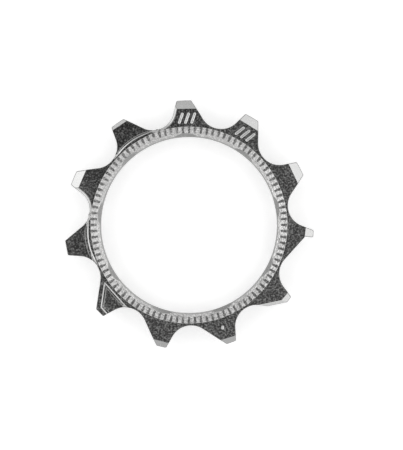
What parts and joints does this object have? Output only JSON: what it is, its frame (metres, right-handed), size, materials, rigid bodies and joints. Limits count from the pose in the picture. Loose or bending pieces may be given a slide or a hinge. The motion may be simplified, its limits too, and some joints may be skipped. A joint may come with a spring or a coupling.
{
  "type": "cassette cog",
  "caption": "Small flat toothed steel ring for a bicycle cassette, with a splined bore, a serrated lockring seat and bevelled, partly recessed chain teeth.",
  "frame": {"origin": "on the bore's axis, in the plane of the spacer collar's resting face; the bounding box is centred within 0.25 mm of the axis, because the tooth count is odd", "axes": "+Z along the bore's axis, out of the serrated front face; +Y through the top tooth of the picture"},
  "size_m": [0.0461, 0.0458, 0.0043],
  "materials": {
    "plated_steel": "satin nickel plate over stamped steel"
  },
  "bodies": {
    "root": {"cassette_cog": "plated_steel"}
  },
  "joints": []
}
